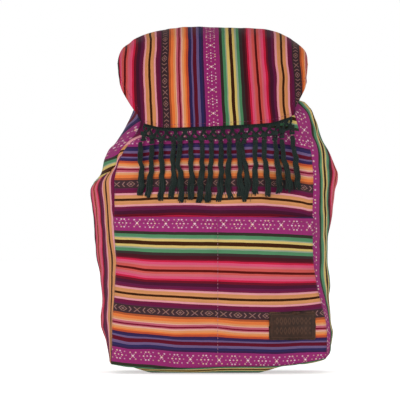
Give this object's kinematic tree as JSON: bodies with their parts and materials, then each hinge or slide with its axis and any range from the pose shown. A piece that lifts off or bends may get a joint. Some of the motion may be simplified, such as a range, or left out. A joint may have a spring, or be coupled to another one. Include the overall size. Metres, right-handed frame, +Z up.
{
  "type": "drawstring backpack",
  "caption": "Soft striped cloth backpack with a drawstring mouth, a fringed flap, a double front pocket and padded straps.",
  "frame": {"origin": "on the floor, under the middle of the bag's flat bottom", "axes": "+Z up; the front with the pocket and fringe faces -Y; +X is to the right of someone who looks at the front"},
  "size_m": [0.3112, 0.1886, 0.4377],
  "materials": {
    "striped_cloth": "thick woven cotton with bright stripes and small woven ornaments",
    "lining_cotton": "plain black cotton",
    "leather": "dark brown, worn along its edges, with a sewn border",
    "yarn": "black twisted wool yarn",
    "cord": "black braided cord",
    "webbing": "black ribbed webbing",
    "plastic": "moulded black",
    "spring_steel": "bright wire",
    "brass": "antique"
  },
  "bodies": {
    "bag": {"front_panel": "striped_cloth", "back_panel": "striped_cloth", "side_panel_left": "striped_cloth", "side_panel_right": "striped_cloth", "bottom_panel": "striped_cloth", "mouth_collar": "striped_cloth", "front_pocket": "striped_cloth", "flap": "striped_cloth", "flap_lining": "lining_cotton", "lining": "lining_cotton", "leather_patch": "leather", "fringe_header": "yarn", "fringe_net": "yarn", "tassel_01": "yarn", "tassel_02": "yarn", "tassel_03": "yarn", "tassel_04": "yarn", "tassel_05": "yarn", "tassel_06": "yarn", "tassel_07": "yarn", "tassel_08": "yarn", "tassel_09": "yarn", "tassel_10": "yarn", "tassel_11": "yarn", "tassel_12": "yarn", "tassel_13": "yarn", "tassel_14": "yarn", "tassel_15": "yarn", "tassel_16": "yarn", "tassel_17": "yarn", "snap_socket": "brass", "snap_stud": "brass", "drawstring_casing": "striped_cloth", "drawstring": "cord", "cord_end": "plastic", "shoulder_strap_left": "striped_cloth", "shoulder_strap_right": "striped_cloth", "strap_tab_left": "webbing", "strap_tab_right": "webbing", "strap_webbing_left": "webbing", "strap_webbing_right": "webbing", "strap_anchor_left": "striped_cloth", "strap_anchor_right": "striped_cloth", "grab_loop": "webbing"},
    "cord_lock": {"cord_lock_body": "plastic", "cord_lock_spring": "spring_steel"},
    "cord_lock_button": {"cord_lock_button": "plastic"},
    "ladder_lock_left": {"ladder_lock_left": "plastic"},
    "ladder_lock_right": {"ladder_lock_right": "plastic"}
  },
  "joints": [
    {"name": "cord_lock_slide", "type": "slide", "parent": "bag", "child": "cord_lock", "axis": [0, -0.4543, -0.8908], "range_m": [-0.002, 0.008]},
    {"name": "cord_lock_press", "type": "slide", "parent": "cord_lock", "child": "cord_lock_button", "axis": [-1, 0, 0], "range_m": [0, 0.003], "stiffness_N_per_m": 400, "springref_m": -0.003, "deforming": ["cord_lock_spring"]},
    {"name": "ladder_lock_left_tilt", "type": "hinge", "parent": "bag", "child": "ladder_lock_left", "pos_m": [-0.098, 0.08596, 0.1437], "axis": [1, 0, 0], "range_deg": [-8, 40], "deforming": ["strap_webbing_left"]},
    {"name": "ladder_lock_right_tilt", "type": "hinge", "parent": "bag", "child": "ladder_lock_right", "pos_m": [0.098, 0.08481, 0.1437], "axis": [1, 0, 0], "range_deg": [-8, 40], "deforming": ["strap_webbing_right"]}
  ]
}
